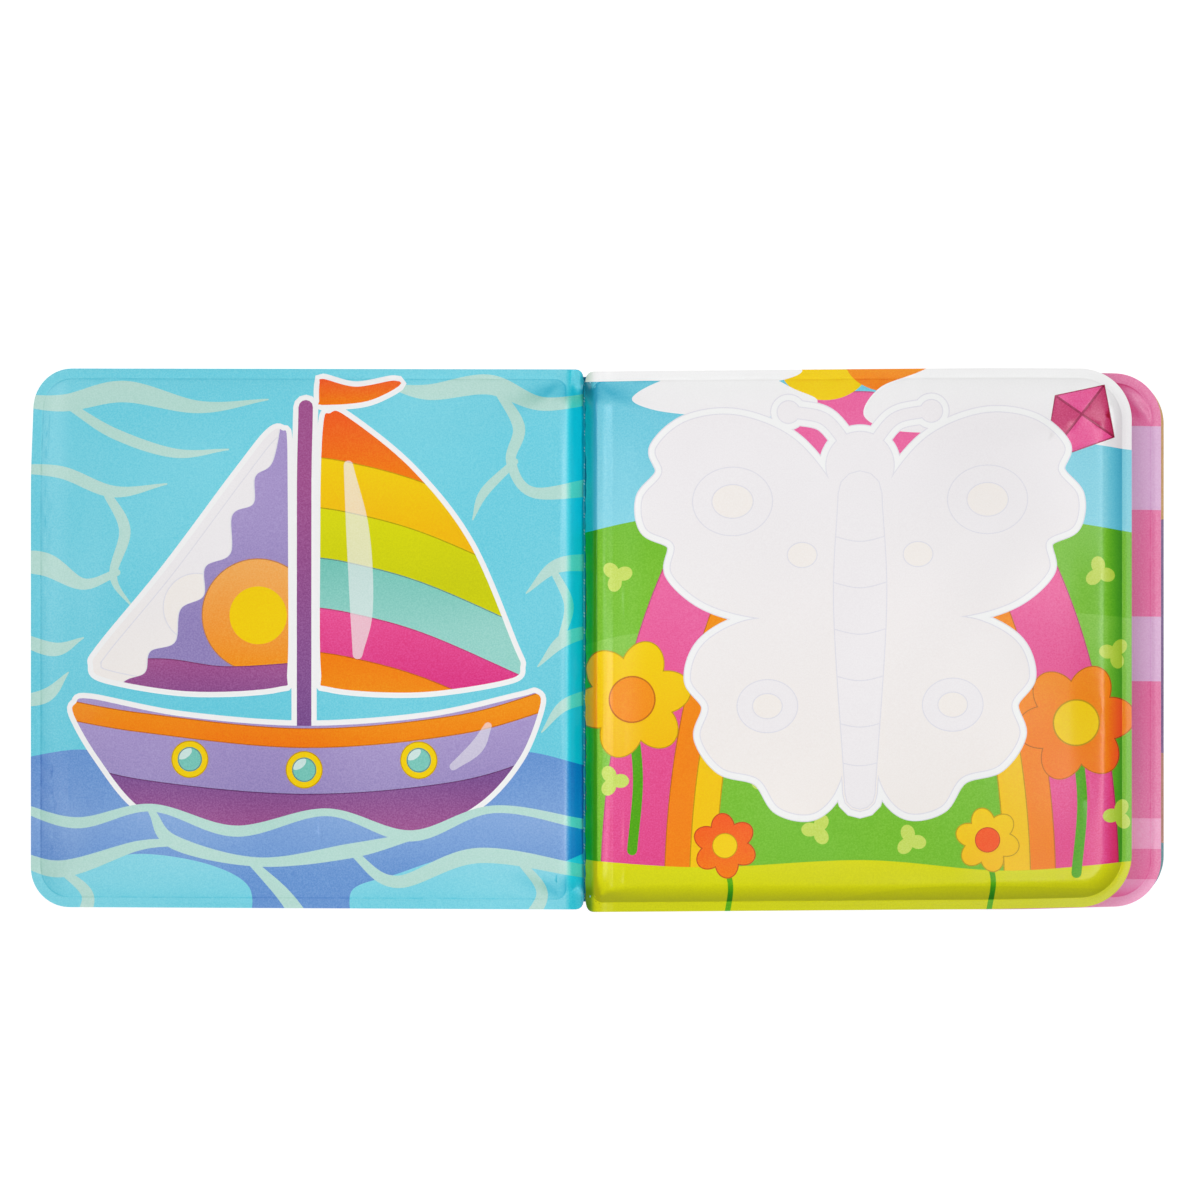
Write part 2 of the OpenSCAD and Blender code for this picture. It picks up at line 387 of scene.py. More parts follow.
def draw_sky(art):
    """Clouds, and two round shapes that reach past the upper edge."""
    art.paint(ellipse(62, 72, 12, 10), YELLOW)
    art.paint(ellipse(79, 73, 12, 9), ORANGE, DEEP_ORANGE, (70, 64))
    art.paint(blob([(-6, 71), (-6, 67.6), (20, 67.4), (48, 66.8), (52, 71)]), WHITE)
    for outline in (
        [(12, 63), (17, 60), (28, 58.4), (42, 57.6), (56, 58.8), (60, 62), (54, 65), (46, 68.6), (32, 70),
         (20, 67.6)],
        [(72, 58), (80, 54), (96, 53), (112, 51), (128, 50.6), (150, 49), (156, 62), (150, 80), (120, 80),
         (98, 74), (86, 69), (76, 65)]):
        art.paint(blob(outline), WHITE, PANEL, (68, 54))


def draw_arch(art):
    """A tall arch of broad bands with the sky and two hills seen through it."""
    bands = (67, 130, PINK, MAGENTA), (50.5, 113, ORANGE, DEEP_ORANGE), (44, 106, YELLOW, AMBER)
    for rx, ry, colour, to in bands:
        outer = ellipse(MID_X, -66, rx + CONTOUR_W, ry + CONTOUR_W)
        art.lined(outer, ellipse(MID_X, -66, rx, ry), colour, to, (20, -110))
    art.paint(ellipse(MID_X, -66, 37.5, 99), darker(YELLOW))
    inner = art.paint(ellipse(MID_X, -66, 37.2, 98.7), SKY, LIGHT_SKY, (65, 30))
    art.paint(below([(10, 27), (46, 31), (80, 25), (130, 31)]), GREEN, within=inner)
    near_hill = below([(10, -8), (50, -2), (90, -9), (130, -4)])
    art.paint(near_hill, FRESH_GREEN, GREEN, (-4, -50), within=inner)


def draw_flower(art, x, y, size, petal, to, heart):
    stalk = [(x, y - 4, size), (x + 1.5, y - 16 * size, size), (x, y - 30 * size, size)]
    art.paint(ribbon(stalk), DEEP_GREEN)
    petals = []
    for i in range(6):
        a = math.radians(60 * i + x)
        mid = x + 6.6 * size * math.cos(a), y + 6.6 * size * math.sin(a)
        petals.append(ellipse(*mid, 5.2 * size, 4.1 * size, math.degrees(a)))
    for outline in petals:
        art.paint(grown(outline, CONTOUR_W), darker(petal))
    for outline in petals:
        art.paint(outline, petal, to, (y + 12 * size, y - 14 * size))
    outer, inner = 4.7 * size, 4.4 * size
    art.lined(ellipse(x, y, outer, outer), ellipse(x, y, inner, inner), heart)


def draw_clover(art, x, y):
    for i in range(3):
        a = math.radians(120 * i + 17 * x)
        mid = x + 2.0 * math.cos(a), y + 2.0 * math.sin(a)
        art.paint(ellipse(*mid, 2.2, 1.8, math.degrees(a), 0.4), PALE_GREEN)


def draw_kite(art):
    """A kite flying in the upper corner, with two spars, and its tail behind the panel."""
    top, left, right, tip = (134.5, 65.8), (121.5, 63.0), (137.0, 52.0), (118.5, 45.5)
    cross = (128.4, 58.1)
    art.paint(ribbon([(120, 46, 0.5), (117, 38, 0.5), (123, 31, 0.5), (119, 24, 0.5)]), CRIMSON)
    corners = np.array([left, top, right, tip])
    kite = art.paint(corners, darker(CRIMSON))
    kite = art.paint(grown(corners, -0.4), CRIMSON, within=kite)
    art.paint([left, top, cross], ROSE, within=kite)
    art.paint([cross, right, tip], ROSE, within=kite)
    for a, b in ((top, tip), (left, right)):
        art.paint(ribbon([(*a, 0.3), (*b, 0.3)]), darker(CRIMSON), within=kite)


def draw_panel(art):
    """A butterfly that is all white panel, with an outline and faint markings."""
    upper = blob([
        (73, 30), (79, 42), (89, 53), (103, 58.5), (116, 57), (124, 50), (122.5, 43.5), (127.5, 37),
        (126.5, 29), (119.5, 25), (120, 17.5), (112, 10), (100, 6), (86, 5), (74, 8)])
    lower = blob([
        (74, 10), (88, 7), (102, 5), (112, -1), (115, -10), (110.5, -17), (112.5, -25), (107, -33),
        (97.5, -36), (92, -43.5), (83, -45), (76.5, -38), (74, -24)])
    feeler = ribbon([(74, 50, 1.7), (80, 57, 1.7), (88, 59, 1.7)])
    right = [upper, lower, feeler, ellipse(89.5, 59, 3.1, 3.1)]
    trunk = ribbon([(MID_X, 38, 6.4), (MID_X, 8, 7.6), (MID_X, -40, 4.6)])
    parts = right + [mirrored_at(MID_X, o) for o in right] + [trunk, ellipse(MID_X, 45, 9, 9)]
    for by, colour in ((OUTLINE_W + CONTOUR_W, PANEL_LINE), (OUTLINE_W, WHITE)):
        for shape in parts:
            art.paint(grown(shape, by), colour)
    for shape in parts:
        art.paint(shape, PANEL_LINE)
    for shape in parts:
        art.paint(grown(shape, -CONTOUR_W), PANEL, WARM_PANEL, (40, -50))
    spots = (104, 36, 10.5, 9), (104, 36, 5.5, 4.5), (86, 22, 4, 3.4), (95, -17, 8, 7), (95, -17, 4, 3.4)
    for x, y, rx, ry in spots:
        for mid in (x, 2 * MID_X - x):
            art.paint(ellipse(mid, y, rx, ry), PANEL_LINE)
            art.paint(ellipse(mid, y, rx - CONTOUR_W, ry - CONTOUR_W), WARM_PANEL if rx < 6 else PANEL)
    spine = art.paint(grown(trunk, -0.6), PANEL_LINE)
    spine = art.paint(grown(trunk, -0.6 - CONTOUR_W), PANEL, within=spine)
    for y in (26, 14, 2, -10, -22, -32):
        rib = [(62, y + 1.4, 0.14), (MID_X, y - 0.6, 0.14), (80, y + 1.4, 0.14)]
        art.paint(ribbon(rib), PANEL_LINE, within=spine)


def meadow_print():
    """Right page: a blank white butterfly before a broad arch, on a hill under clouds."""
    art = Print(SKY, LIGHT_SKY, (65, 30))
    art.paint(below([(-6, 27), (20, 32), (46, 30), (80, 24), (112, 31), (150, 26)]), GREEN)
    near_hill = below([(-6, -2), (20, 2), (60, -8), (90, -4), (120, 6), (150, 4)])
    art.paint(near_hill, FRESH_GREEN, GREEN, (4, -50))
    draw_arch(art)
    draw_sky(art)
    for x, y in (
            (8, 17), (7, -36), (137, -4), (133, 17), (138, -46), (60, -49), (84, -52), (52, 20), (90, 20),
            (47, -36)):
        draw_clover(art, x, y)
    foreground = below([(-6, -56), (30, -58.5), (72, -57), (110, -60), (150, -57.5)])
    ground = art.paint(foreground, LIME, DEEP_LIME, (-56, -68))
    art.paint(below([(50, -70), (90, -64), (150, -66)]), DEEP_LIME, within=ground)
    draw_flower(art, 12, -15, 1.3, YELLOW, AMBER, ORANGE)
    draw_flower(art, 127, -22, 1.3, ORANGE, DEEP_ORANGE, YELLOW)
    draw_flower(art, 36, -53, 0.7, ORANGE_RED, DEEP_ORANGE, YELLOW)
    draw_flower(art, 104, -52, 0.7, YELLOW, AMBER, ORANGE_RED)
    draw_kite(art)
    draw_panel(art)
    return art


def stripes_print():
    """Second page: broad pink and lilac stripes."""
    art = Print(LEAF_PINK)
    tops = (56, 34, 6, -11, -47, -55, -63)
    inks = (LILAC, LEAF_PINK, LILAC, LEAF_PINK, PALE_PINK, LEAF_PINK, PALE_PINK)
    for top, colour in zip(tops, inks):
        art.paint(below([(-6, top + 0.5), (40, top - 0.6), (90, top + 0.7), (150, top)]), colour)
    return art


def dunes_print():
    """Inner side of the back cover: evening bands from ochre to teal, with a low sun."""
    art = Print(OCHRE)
    art.paint(ellipse(52, 34, 19, 19), ORANGE, AMBER, (54, 20))
    for line, colour, to in (
        ([(-6, 30), (34, 20), (80, 34), (118, 28), (150, 33)], VIOLET, DARK_PLUM),
        ([(-6, -18), (40, -30), (90, -22), (150, -31)], BROWN, None),
        ([(-6, -46), (50, -52), (100, -46), (150, -55)], SLATE, None),
        ([(-6, -60), (60, -64), (150, -63)], NAVY, None)):
        art.paint(below(line), colour, to, (20, -40))
    return art


def waves_print(ground, first, second):
    """A cover or a hidden side: plain ground with two broad waves."""
    art = Print(ground)
    art.paint(below([(-6, -14), (30, -4), (76, -18), (116, -6), (150, -14)]), first)
    art.paint(below([(-6, -40), (36, -46), (84, -34), (126, -44), (150, -38)]), second)
    return art


def smooth(t):
    t = np.clip(t, 0, 1)
    return t * t * (3 - 2 * t)


def waves(x, y, seed, short, long):
    """A smooth random field of about unit height: plane waves between two wavelengths in mm."""
    rng, count = np.random.RandomState(seed), 14
    out = np.zeros_like(x)
    for _ in range(count):
        size = rng.uniform(short, long)
        a, phase = rng.uniform(0, 2 * math.pi, 2)
        out += np.sin(2 * math.pi / size * (x * math.cos(a) + y * math.sin(a)) + phase)
    return out / math.sqrt(count / 2)


def rounded(x0, x1, y1, rs, ro, step):
    """A rectangle with rounded corners, from x0 to x1 and -y1 to y1, with a point every step mm or so."""
    def arc(x, y, r, start):
        n = max(3, int(math.pi / 2 * r / min(step, CORNER_STEP)))
        a = math.radians(start) + math.pi / 2 * np.arange(n + 1) / n
        return np.stack([x + r * np.cos(a), y + r * np.sin(a)], 1)

    arcs = [
        arc(x1 - ro, y1 - ro, ro, 0), arc(x0 + rs, y1 - rs, rs, 90), arc(x0 + rs, rs - y1, rs, 180),
        arc(x1 - ro, ro - y1, ro, 270)]
    out = []
    for a, b in zip(arcs, arcs[1:] + arcs[:1]):
        out.append(a)
        n = max(1, int(np.hypot(*(b[0] - a[-1])) / step))
        out.append(a[-1] + (b[0] - a[-1]) * (np.arange(1, n) / n)[:, None])
    return np.vstack(out)


# Spacing of a leaf's points round its corners and along the fold, how far the grid keeps from the weld, and
# how far from other points, in its steps
CORNER_STEP, FOLD_STEP, GRID_IN, GRID_CLEAR = 0.7, 0.7, 0.5, 0.42
# Distances from the spine edge of the lines of points beside the fold, distance of their ends from the
# leaf's, and how far such a line keeps from the weld
FOLD_LINES, FOLD_LINE_END, FOLD_LINE_CLEAR = (0.35, 0.8, 1.3, 1.8, 2.4, 3.0, 3.6), 1.4, 0.4
# Half height at which the padding beside the fold stops rolling down, the length over which it stops, and
# how much deeper the colour channels get past it as painted shade
ROLL_END, ROLL_FADE, END_SHADE_POWERS = 60, 7, np.array([0.4, 0.8, 1.0])
# Widths of the padding's low crown, and over which its waves come in from the weld
CROWN_W, WAVES_IN = 13.0, 14
# Those waves: mean depth, amplitude, seed, shortest and longest wavelength
PAD_WAVES = ((0.374, 0.204, 0, 44, 90), (0.02, 0.02, 3, 18, 30))
# Width over which the forms of two sides blend at the weld, and by how much it grows further in
BLEND_W, BLEND_GROWTH = 1.6, 0.35
# Puckers at the weld: depth, distances in which they begin and fade, how near the upper and lower edges
# they follow those, how far they wander in radians, and lengths per radian of their waves, wander and
# strength
PUCKER_D, PUCKER_IN, PUCKER_REACH, PUCKER_TURN, WANDER = 0.03, 0.5, 3.2, 9, 2.2
PUCKER_L, WANDER_L, STRENGTH_L = 1.15, 7.3, 13.0
# Groove of the weld: depth, distance inside the weld line, width
WELD_D, WELD_IN, WELD_W = 0.07, 0.02, 0.2
# Groove of the seam: place, as a share of the border and so much more, and width
SEAM_SHARE, SEAM_MORE, SEAM_W = 0.45, 0.2, 0.5
# Its depth, depth added at a stitch, half height and length of its fading ends
SEAM_D, STITCH_D, SEAM_END, SEAM_FADE = 0.05, 0.09, 64, 4
# How far the seam tugs the film in step with its stitches and unevenly, and the width over which it does
TUG, UNEVEN_TUG, TUG_W = 0.10, 0.07, 2.6
# Share of the border's curl that is lost at the fold's ends, from which half height and over which length
CURL_LOSS, CURL_END, CURL_FADE = 0.45, 56, 12
# Where the edges start to draw in, and the outer edge to lean in above mid height, and over which length
TAPER_IN, TAPER_L, LEAN_FROM, LEAN_L = 40, 34, 38, 30


def past_roll(y):
    """0 where the padding beside the fold rolls down, and 1 towards the fold's two ends."""
    return smooth((np.abs(y) - ROLL_END) / ROLL_FADE)


class Leaf:
    """The form of one padded leaf: x runs from its spine edge, y along the fold, z from its middle."""

    # Distances inside the weld at which the surface gets a line of points
    RINGS = (-1.2, -0.45, -0.15, 0.05, 0.25, 0.55, 1.0, 1.6, 2.4, 3.4, 4.6)
    # How the padding rises from the weld at the spine, outside, above and below: width, two exponents, and
    # the share of the rise that belongs to the low crown
    sides = ((SHOULDER_W, 2.4, 2.0, 0.0),) * 4
    # How far both edges draw in towards the outer corners, and the outer edge towards the upper corner
    taper = lean = 0.0
    # Creases in the padding that run down to the right at 45 degrees: place, length, width and depth
    pinches = ()
    # How far the border at the spine curls down, over which width, over which the padding rolls down there,
    # and the power of that roll: a higher one is steeper at the fold and flatter above it
    droop, sag_w, roll_w, roll_power = 0.0, 1.0, 0.0, 1.7
    # The colours carry painted shade beside the fold: deepest up to deep[0] from the spine edge, and as
    # printed from deep[1]. powers says how much deeper each channel gets; below zero, lighter.
    deep, powers = (0, 1), (0, 0, 0)

    def __init__(self, w, spine_w, seed, corner_r, edges, **others):
        """edges: how far the upper edge lies above its place at the spine and outside, then the lower."""
        vars(self).update(w=w, spine_w=spine_w, seed=seed, corner_r=corner_r, edges=edges, **others)

    def outline(self, step):
        return rounded(0, self.w, LEAF_H / 2, SPINE_CORNER_R, self.corner_r, step)

    def ring(self, d, step):
        r = WELD_CORNER_R if d >= 0 else WELD_CORNER_R - d
        return rounded(
            self.spine_w + d, self.w - BORDER_W - d, LEAF_H / 2 - BORDER_W - d, r,
            max(self.corner_r - BORDER_W - d, WELD_CORNER_R), step)

    def inside(self, x, y):
        """How far inside the weld line a point is, below zero in the border."""
        x0, x1, y1 = self.spine_w, self.w - BORDER_W, LEAF_H / 2 - BORDER_W
        mid = (x0 + x1) / 2
        r = np.where(x < mid, WELD_CORNER_R, self.corner_r - BORDER_W)
        qx, qy = np.abs(x - mid) - (x1 - x0) / 2 + r, np.abs(y) - y1 + r
        return r - np.hypot(np.maximum(qx, 0), np.maximum(qy, 0)) - np.minimum(np.maximum(qx, qy), 0)

    def near(self, x, y):
        """How much each of the four sides shapes the padding at a point: spine, outer, upper and lower."""
        y1 = LEAF_H / 2 - BORDER_W
        apart = np.stack([x - self.spine_w, self.w - BORDER_W - x, y1 - y, y1 + y])
        nearest = apart.min(0)
        share = np.exp(-(apart - nearest) / (BLEND_W + BLEND_GROWTH * np.maximum(nearest, 0)))
        return share / share.sum(0)

    def rise(self, x, d, share, rolled):
        """How far the padding has risen from the weld's height, 0, to the top, 1."""
        width, a, b, crown = np.einsum("sk,sn->kn", np.array(self.sides), share)
        shoulder = (1 - (1 - np.clip(d / width, 0, 1)) ** a) ** (1 / b)
        low_crown = 1 - (1 - np.clip(d / CROWN_W, 0, 1)) ** 2
        slope = 1 - (1 - np.clip(x / max(self.roll_w, 1.0), 0, 1)) ** self.roll_power
        return ((1 - crown) * shoulder + crown * low_crown) * (1 - rolled) + slope * rolled

    def puckers(self, x, y, d, seed):
        """Depth of the fine uneven puckers that run in from the weld."""
        along = np.where(np.abs(y) > LEAF_H / 2 - PUCKER_TURN, x, y)
        wave = np.sin(along / PUCKER_L + WANDER * np.sin(along / WANDER_L + seed))
        strength = 0.6 + 0.4 * np.sin(along / STRENGTH_L + seed)
        fade = np.exp(-np.maximum(d, 0) / PUCKER_REACH) * np.clip(d / PUCKER_IN, 0, 1)
        return PUCKER_D * fade * (1 + wave * strength)

    def creases(self, x, y, d):
        """Depth of the creases in the padding."""
        depth = np.zeros_like(x)
        for x0, y0, long, wide, deep in self.pinches:
            u, v = (x - x0 - y + y0) / math.sqrt(2), (x - x0 + y - y0) / math.sqrt(2)
            depth += deep * np.exp(-(u / long) ** 2 - (v / wide) ** 2) * np.clip(d / 0.8, 0, 1)
        return depth

    def seam(self, x, y):
        """Depth of the groove that the seam pulls into the border beside the fold."""
        across = np.exp(-((x - SEAM_SHARE * self.spine_w - SEAM_MORE) / SEAM_W) ** 2)
        stitch = (0.5 + 0.5 * np.cos(2 * math.pi * y / STITCH_PITCH)) ** 3
        return across * (1 - smooth((np.abs(y) - SEAM_END) / SEAM_FADE)) * (SEAM_D + STITCH_D * stitch)

    def height(self, x, y, side):
        """Height of the film over the leaf's middle. side is 1 for the upper film and 2 for the lower."""
        d, share, seed = self.inside(x, y), self.near(x, y), 10 * self.seed + side
        rolled = share[0] * (1 - past_roll(y)) if self.roll_w else 0.0
        z = BORDER_T / 2 + (LEAF_T - BORDER_T) / 2 * self.rise(x, d, share, rolled)
        for mean, size, shift, short, long in PAD_WAVES:
            z -= smooth(d / WAVES_IN) * (mean + size * waves(x, y, seed + shift, short, long))
        z -= self.puckers(x, y, d, seed) * (1 - share[0])
        z -= WELD_D * np.exp(-((d - WELD_IN) / WELD_W) ** 2) * (1 - rolled)
        z -= self.creases(x, y, d)
        return z - self.seam(x, y) if self.droop else z

    def gather(self, x, y):
        """How far the film is pulled along x beside the fold, in small uneven waves."""
        if not self.droop:
            return np.zeros_like(x)
        stitch = np.cos(2 * math.pi * y / STITCH_PITCH)
        tugs = TUG * stitch + UNEVEN_TUG * waves(y, 0 * y, 40 + self.seed, 7, 30)
        return tugs * np.clip(1 - x / TUG_W, 0, 1) ** 2

    def moved(self, x, y):
        """Where a point lies on a leaf that is gathered at the fold and a little out of square."""
        out, up = x / self.w, 0.5 + y / LEAF_H
        upper = self.edges[0] * (1 - out) + self.edges[1] * out
        lower = self.edges[2] * (1 - out) + self.edges[3] * out
        drawn = self.taper * smooth((x - self.w + TAPER_IN) / TAPER_L)
        leant = self.lean * out * smooth((y - LEAN_FROM) / LEAN_L)
        return x + self.gather(x, y) - leant, y + upper * up + lower * (1 - up) - drawn * y / (LEAF_H / 2)

    def sag(self, x, y):
        """How far the border at the spine curls down into the gutter."""
        ends = 1 - CURL_LOSS * smooth((np.abs(y) - CURL_END) / CURL_FADE)
        return self.droop * ends * np.clip(1 - x / self.sag_w, 0, 1) ** 1.6


def grid_inside(leaf, fixed, step):
    """Points in a staggered grid over the padding, clear of the fixed points."""
    tree = kdtree.KDTree(len(fixed))
    for i, (x, y) in enumerate(fixed):
        tree.insert((x, y, 0), i)
    tree.balance()
    xs = np.arange(step / 2, leaf.w, step)
    ys = np.arange(-LEAF_H / 2 + step / 2, LEAF_H / 2, step)
    grid = np.stack(np.meshgrid(xs, ys), -1)
    grid[1::2, :, 0] += step / 2
    grid = grid.reshape(-1, 2)
    grid = grid[leaf.inside(grid[:, 0], grid[:, 1]) > GRID_IN]
    return np.array([p for p in grid if tree.find((p[0], p[1], 0))[2] > GRID_CLEAR * step])


def triangles(points, edges, outline):
    """The points in use and the triangles between them that lie inside the outline, all anticlockwise."""
    coords = [Vector(p) for p in points]
    co, _, tris = delaunay_2d_cdt(coords, edges, [list(range(len(outline)))], 1, 1e-5)[:3]
    co, tris = np.array([(v.x, v.y) for v in co]), np.array(tris)
    tris = tris[covered(outline, co[tris].mean(1))]
    used, index = np.unique(tris, return_inverse=True)
    co, tris = co[used], index.reshape(tris.shape)
    run1, run2 = co[tris[:, 1]] - co[tris[:, 0]], co[tris[:, 2]] - co[tris[:, 0]]
    turned = run1[:, 0] * run2[:, 1] - run1[:, 1] * run2[:, 0] < 0
    tris[turned] = tris[turned][:, ::-1]
    return co, tris


def surface(leaf, art, side, step, flip):
    """Points, heights, triangles and corner colours of a side of a leaf. flip maps page x to leaf x."""
    outline = leaf.outline(step)
    rings = [leaf.ring(d, step) for d in Leaf.RINGS]
    shapes = [np.column_stack([flip(o[:, 0]), o[:, 1]]) for o, *_ in art.fields[1:]]
    points, edges = [outline], []
    start = len(outline)
    for line in rings + shapes:
        n = len(line)
        edges += [(start + i, start + (i + 1) % n) for i in range(n)]
        points.append(line)
        start += n
    end = LEAF_H / 2 - FOLD_LINE_END
    along = np.arange(-end, end + FOLD_STEP / 2, FOLD_STEP)
    for x in FOLD_LINES:
        if leaf.droop and abs(x - leaf.spine_w) > FOLD_LINE_CLEAR:
            points.append(np.column_stack([np.full(len(along), x), along]))
    fixed = np.vstack(points)
    co, tris = triangles(np.vstack([fixed, grid_inside(leaf, fixed, step)]), edges, outline)
    colours = art.colours(np.stack([flip(co[:, 0]), co[:, 1]], 1)[tris])
    # Painted shade beside the fold: each channel is raised to a power that grows towards the fold, and more
    # past the roll's ends
    if leaf.droop and side == 1:
        x, y = co[tris][:, :, :1], co[tris][:, :, 1:]
        deep = smooth((leaf.deep[1] - x) / (leaf.deep[1] - leaf.deep[0]))
        colours = colours ** (1 + deep * (leaf.powers + past_roll(y) * END_SHADE_POWERS))
    return co, leaf.height(co[:, 0], co[:, 1], side), tris, colours


def rim(tris, co):
    """The vertices of the mesh's outer edge, in order round it."""
    pairs = set(map(tuple, np.vstack([tris[:, [0, 1]], tris[:, [1, 2]], tris[:, [2, 0]]]).tolist()))
    nxt = {a: b for a, b in pairs if (b, a) not in pairs}
    first = min(nxt, key=lambda i: (co[i][0] + co[i][1], i))
    out = [first]
    while nxt[out[-1]] != first:
        out.append(nxt[out[-1]])
    return out


def leaf_piece(name, leaf, upper, lower, place, step=(1.3, 2.4), mirrored=False):
    """A whole leaf as one closed mesh: an upper and a lower printed film and the rim between them."""
    flip = (lambda x: leaf.w - x) if mirrored else (lambda x: x)
    verts, tris, colours, rims = [], [], [], []
    start = 0
    for side, art, size in ((1, upper, step[0]), (2, lower, step[1])):
        co, z, t, c = surface(leaf, art, side, size, flip)
        rims.append([i + start for i in rim(t, co)])
        if side == 2:
            z, t, c = -z, t[:, ::-1], c[:, ::-1]
        x, y = leaf.moved(co[:, 0], co[:, 1])
        verts.append(np.column_stack([x, y, z - leaf.sag(co[:, 0], co[:, 1])]))
        tris.append(t + start)
        colours.append(c)
        start += len(co)
    points = np.vstack(verts)
    wall, wall_colours = stitch_rims(points, rims, tris, colours)
    tris = np.vstack(tris + [wall])
    colours = np.vstack(colours + [wall_colours])
    if mirrored:
        tris, colours = tris[:, ::-1], colours[:, ::-1]
    obj = film_object(name, place(points), tris, colours)
    crisp_rims(obj.data, rims)
    return obj


def crisp_rims(mesh, rims):
    """Keeps the shading of the flat border from running over its thin outer edge."""
    ends = np.empty(2 * len(mesh.edges), int)
    mesh.edges.foreach_get("vertices", ends)
    sharp = {tuple(sorted(pair)) for line in rims for pair in zip(line, line[1:] + line[:1])}
    marks = [tuple(sorted(pair)) in sharp for pair in ends.reshape(-1, 2).tolist()]
    mesh.edges.foreach_set("use_edge_sharp", marks)


def stitch_rims(points, rims, tris, colours):
    """Triangles that join the two rims, and their colours from the upper film."""
    look = dict(zip(tris[0].ravel().tolist(), colours[0].reshape(-1, 3)))

    def lengths(ids):
        p = points[ids + ids[:1]][:, :2]
        s = np.concatenate([[0], np.cumsum(np.hypot(*np.diff(p, axis=0).T))])
        return s / s[-1]

    top, low = rims
    s_top, s_low = lengths(top), lengths(low)
    i = j = 0
    out, out_colours = [], []
    while i < len(top) or j < len(low):
        a, b = top[i % len(top)], low[j % len(low)]
        if j >= len(low) or (i < len(top) and s_top[i + 1] <= s_low[j + 1]):
            n = top[(i + 1) % len(top)]
            out_colours.append((look[a], look[a], look[n]))
            i += 1
        else:
            n = low[(j + 1) % len(low)]
            out_colours.append((look[a], look[a], look[a]))
            j += 1
        out.append((a, b, n))
    return np.array(out), np.array(out_colours)


def new_object(name, points, faces, material):
    """A smooth mesh object in one material, from points in mm."""
    mesh = bpy.data.meshes.new(name)
    mesh.from_pydata((np.asarray(points) * MM).tolist(), [], faces)
    mesh.polygons.foreach_set("use_smooth", [True] * len(mesh.polygons))
    mesh.materials.append(material)
    obj = bpy.data.objects.new(name, mesh)
    bpy.context.scene.collection.objects.link(obj)
    return obj


def film_object(name, points, faces, colours):
    """A mesh object in the printed film, with a linear colour for each corner of its triangles."""
    obj = new_object(name, points, np.asarray(faces).tolist(), PRINTED_FILM)
    # The print attribute holds the print, and painted shade beside the fold and in the gutter inks
    layer = obj.data.color_attributes.new("print", "FLOAT_COLOR", "CORNER")
    flat = np.asarray(colours).reshape(-1, 3)
    layer.data.foreach_set("color", np.column_stack([flat, np.ones(len(flat))]).ravel())
    obj.data.update()
    return obj


def flat_place(x, z):
    """Puts a leaf flat on the stack with its spine edge at x from the fold and its middle at height z."""
    return lambda p: p + np.array([FOLD_X + x, 0, z])


def open_tilt():
    """The open front cover's slope in degrees, worked out as in the part's source."""
    out = GUTTER_GAP + LEAF_W - BORDER_W
    tilts = []
    for i in range(SHOULDER_STEPS + 1):
        a = math.radians(90 * i / SHOULDER_STEPS)
        reach = out - SHOULDER_W * (1 - math.cos(a))
        drop = HINGE_DROP + BORDER_T / 2 + (LEAF_T - BORDER_T) / 2 * math.sin(a)
        tilts.append(math.degrees(math.atan2(reach, drop) - math.acos(HINGE_Z / math.hypot(reach, drop))))
    return min(tilts)


OPEN_TILT = open_tilt()


def cover_place(p):
    """Puts the front cover open to the left of the fold, sloping down to the surface."""
    a = math.radians(OPEN_TILT)
    x, z = -(p[:, 0] + GUTTER_GAP), p[:, 2] - HINGE_DROP
    turned_x, turned_z = x * math.cos(a) - z * math.sin(a), z * math.cos(a) + x * math.sin(a)
    return np.stack([FOLD_X + turned_x, p[:, 1], HINGE_Z + turned_z], 1)


class Tree:
    """The node tree of a material or a world, built up from nothing."""

    def __init__(self, owner):
        owner.use_nodes = True
        self.owner, self.nodes, self.links = owner, owner.node_tree.nodes, owner.node_tree.links
        self.nodes.clear()

    def feed(self, node, inputs):
        """Gives each socket its number, or links it to the output that feeds it."""
        for socket, value in inputs.items():
            if isinstance(value, bpy.types.NodeSocket):
                self.links.new(value, node.inputs[socket])
            else:
                node.inputs[socket].default_value = value
        return node

    def add(self, kind, inputs=None):
        return self.feed(self.nodes.new("ShaderNode" + kind), inputs or {})

    def math(self, operation, *values):
        node = self.add("Math", dict(enumerate(values)))
        node.operation = operation
        return node.outputs[0]

    def ranged(self, value, low, high, to_low, to_high):
        """The value with the range from low to high stretched over another range."""
        sockets = "From Min", "From Max", "To Min", "To Max"
        numbers = dict(zip(sockets, (low, high, to_low, to_high)))
        return self.add("MapRange", {"Value": value, **numbers}).outputs[0]

    def noise(self, coords, scale, detail=2.0):
        return self.add("TexNoise", {"Vector": coords, "Scale": scale, "Detail": detail}).outputs["Fac"]

    def finish(self, shader, output="OutputMaterial"):
        self.add(output, {"Surface": shader.outputs[0]})
        return self.owner


# Creases of the film beside the fold: depth in metres, width over which they show, stretch of their noise
GATHER_D, GATHER_W, GATHER_STRETCH = 0.0005, 7.5, (1.0, 0.06, 0.2)
# The power that the printed colours are raised to: painted shade from the film's slope and its steepest
# parts, and what a fine grain and slow clouds add. Each is a range of its source and one of the power. The
# roughness is made likewise.
SLOPE_SHADE_POWER, STEEP_SHADE_POWER = (0.985, 0.89, 1.0, 1.95), (0.4, 0.8, -0.7, 0.0)
GRAIN_POWER, CLOUD_POWER = (0.3, 0.7, -0.11, 0.11), (0.3, 0.7, -0.07, 0.07)
ROUGHNESS = (0.3, 0.7, 0.17, 0.23)
# Scales of the noises
GATHER_SCALE, GRAIN_SCALE, CLOUD_SCALE = 360, 2600, 24
GLOSS_SCALE, RELIEF_SCALE, THREAD_SCALE = 45, 1500, 5200


